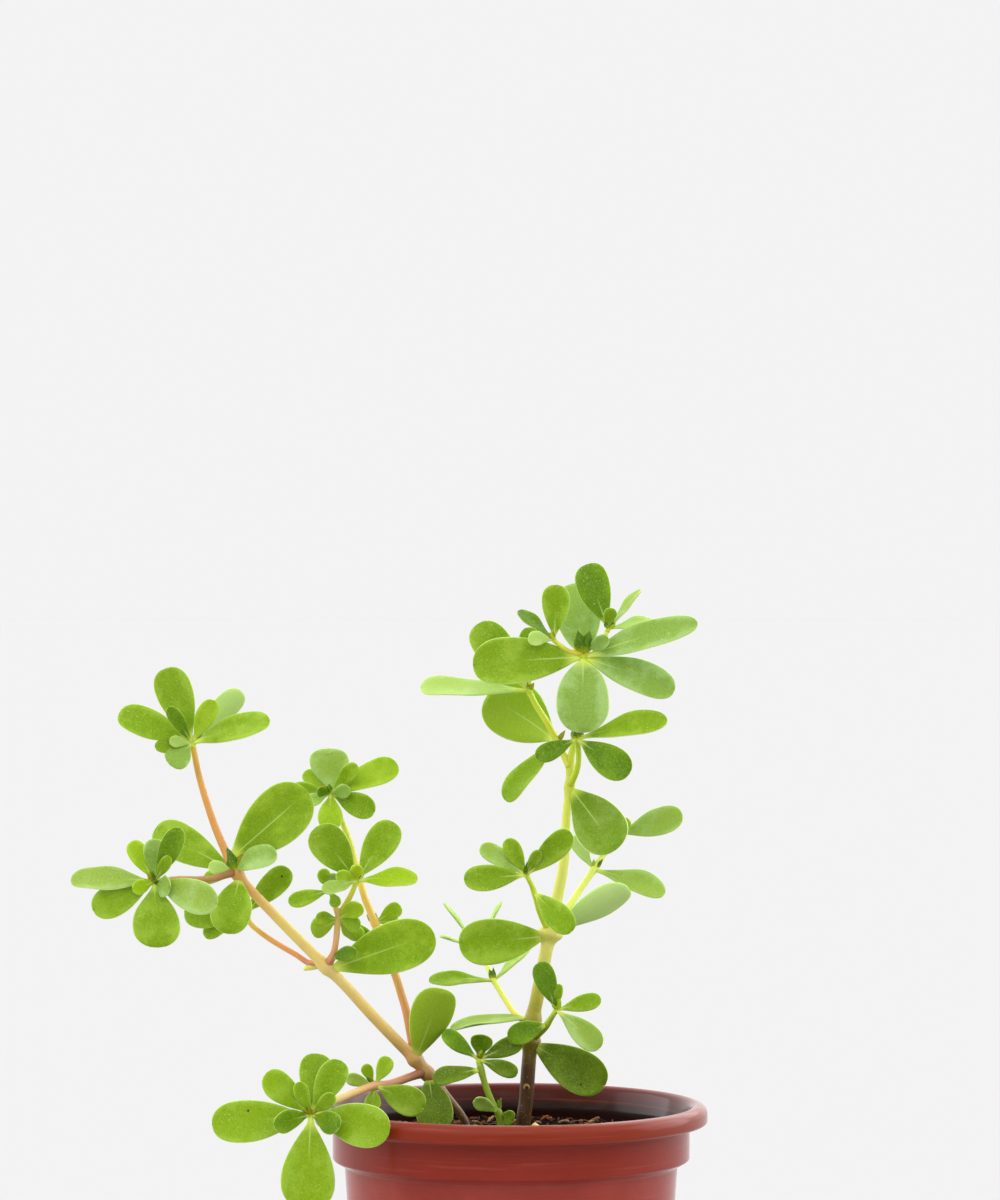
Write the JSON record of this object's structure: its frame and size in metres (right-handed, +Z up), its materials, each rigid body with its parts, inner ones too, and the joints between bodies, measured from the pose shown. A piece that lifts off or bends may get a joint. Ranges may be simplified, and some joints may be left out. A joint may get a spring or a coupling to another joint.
{
  "type": "potted purslane",
  "caption": "Purslane herb with long branching succulent stems and spoon-shaped leaves, growing in a round terracotta-coloured plastic nursery pot.",
  "frame": {"origin": "centre of the pot's flat underside", "axes": "+X to the right and +Y to the back as seen from the front, +Z up along the pot's axis"},
  "size_m": [0.2091, 0.131, 0.2954],
  "materials": {
    "terracotta_plastic": "satin",
    "potting_soil": "matte",
    "stem": "satin",
    "leaf": "satin"
  },
  "bodies": {
    "root": {"pot": "terracotta_plastic", "soil": "potting_soil", "left_stem": "stem", "right_stem": "stem", "centre_stem": "stem", "middle_branch": "stem", "left_front_branch": "stem", "left_rear_branch": "stem", "left_mid_branch": "stem", "left_mid_twig": "stem", "lower_left_branch": "stem", "right_rear_branch": "stem", "right_front_shoot": "stem", "right_side_branch": "stem", "right_left_shoot": "stem", "right_low_shoot": "stem", "low_rear_branch": "stem", "top_left_twig": "stem", "top_right_twig": "stem", "left_tip": "leaf", "fork_leaves": "leaf", "fork_large_leaf": "leaf", "fork_hanging_leaf": "leaf", "left_front_tip": "leaf", "left_rear_tip": "leaf", "middle_tip": "leaf", "middle_rear_leaves": "leaf", "left_mid_tip": "leaf", "left_mid_twig_tip": "leaf", "left_mid_leaves": "leaf", "left_long_leaf": "leaf", "left_small_leaf": "leaf", "left_under_leaf": "leaf", "left_folded_leaf": "leaf", "lower_left_leaves": "leaf", "lower_left_tip": "leaf", "top_buds": "leaf", "top_leaves": "leaf", "top_left_twig_tip": "leaf", "top_right_twig_tip": "leaf", "right_rear_tip": "leaf", "right_rear_leaves": "leaf", "right_front_tip": "leaf", "right_cupped_leaf": "leaf", "right_side_tip": "leaf", "right_side_leaves": "leaf", "right_under_leaf": "leaf", "right_left_tip": "leaf", "right_left_leaf": "leaf", "right_wide_leaf": "leaf", "low_rear_tip": "leaf", "low_rear_leaves": "leaf", "low_thin_leaf": "leaf", "right_low_tip": "leaf", "right_low_leaf": "leaf", "right_base_leaf": "leaf", "centre_tip": "leaf", "centre_leaf": "leaf", "centre_low_leaves": "leaf"}
  },
  "joints": []
}
